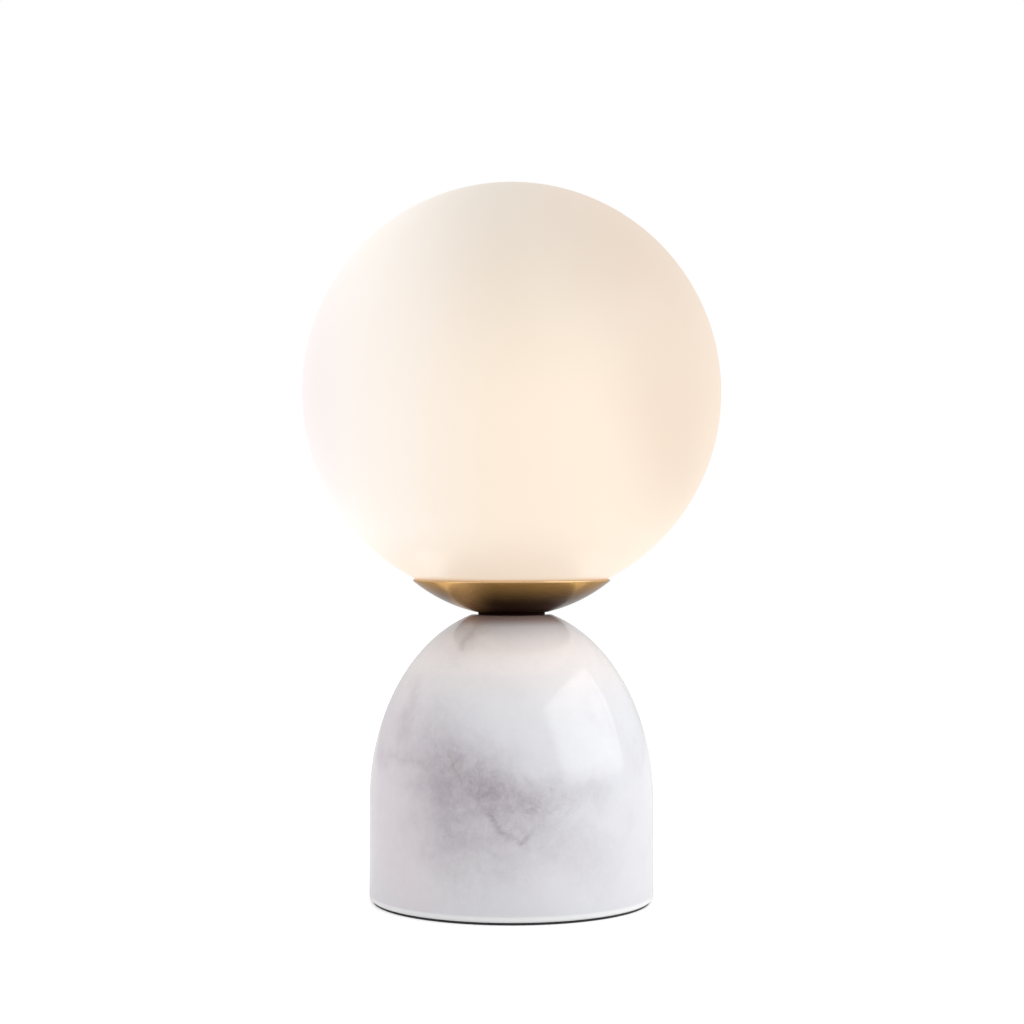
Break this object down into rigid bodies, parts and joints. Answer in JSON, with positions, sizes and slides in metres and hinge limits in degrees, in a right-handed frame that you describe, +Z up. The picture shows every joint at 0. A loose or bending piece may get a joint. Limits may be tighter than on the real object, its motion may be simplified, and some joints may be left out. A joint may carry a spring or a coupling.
{
  "type": "glass globe table lamp",
  "caption": "Table lamp with an opal glass globe seated in a spun brass dish on a domed marble base; the globe lifts off to reach the two-pin capsule bulb.",
  "frame": {"origin": "centre of the foam pad's underside, the face the lamp stands on", "axes": "+Z up along the lamp's axis; -Y is the front as pictured, +Y the back where the cord leaves"},
  "size_m": [0.15, 0.15, 0.2568],
  "materials": {
    "marble": "polished white marble with soft grey-lilac veins",
    "foam": "black dense foam, matt",
    "plated_steel": "zinc-plated steel, satin",
    "bush_rubber": "black rubber, matt",
    "brass": "antique brass, satin brushed",
    "yellow_brass": "bright turned brass",
    "fibre": "dark fibre, matt",
    "spring_steel": "bright spring steel",
    "silicone": "milky silicone, soft sheen",
    "opal_glass": "opal white glass, gloss, lit from inside",
    "ceramic": "white unglazed ceramic",
    "contact_metal": "nickel-plated contact metal",
    "bulb_body": "white moulded bulb base",
    "frosted_glass": "frosted envelope, lit",
    "led": "light-emitting board, lit",
    "polyamide": "natural white moulded plastic",
    "brown_insulation": "brown insulation",
    "blue_insulation": "blue insulation",
    "earth_insulation": "green insulation with a yellow stripe"
  },
  "bodies": {
    "stand": {"base_pad": "foam", "cover_plate": "plated_steel", "marble_base": "marble", "cord_bush": "bush_rubber", "centre_tube": "plated_steel", "clamp_washer": "plated_steel", "earth_tag": "yellow_brass", "lock_washer": "plated_steel", "lower_nut": "plated_steel", "seat_washer": "fibre", "brass_dish": "brass", "spring_clip": "spring_steel", "top_washer": "plated_steel", "upper_nut": "plated_steel", "globe_gasket": "silicone", "holder_bracket": "plated_steel", "holder_ceramic": "ceramic", "holder_contacts": "contact_metal", "holder_screws": "plated_steel", "terminal_strip": "polyamide", "terminal_inserts": "yellow_brass", "terminal_screws": "plated_steel", "strip_screw": "plated_steel", "lead_live": "brown_insulation", "lead_neutral": "blue_insulation", "earth_lead": "earth_insulation"},
    "globe": {"glass_globe": "opal_glass"},
    "bulb": {"bulb_base": "bulb_body", "bulb_pins": "contact_metal", "bulb_envelope": "frosted_glass", "bulb_emitter": "led"}
  },
  "joints": [
    {"name": "globe_lift", "type": "slide", "parent": "stand", "child": "globe", "axis": [0, 0, 1], "range_m": [0, 0.08]},
    {"name": "bulb_pull", "type": "slide", "parent": "stand", "child": "bulb", "axis": [0, 0, 1], "range_m": [0, 0.02]}
  ]
}
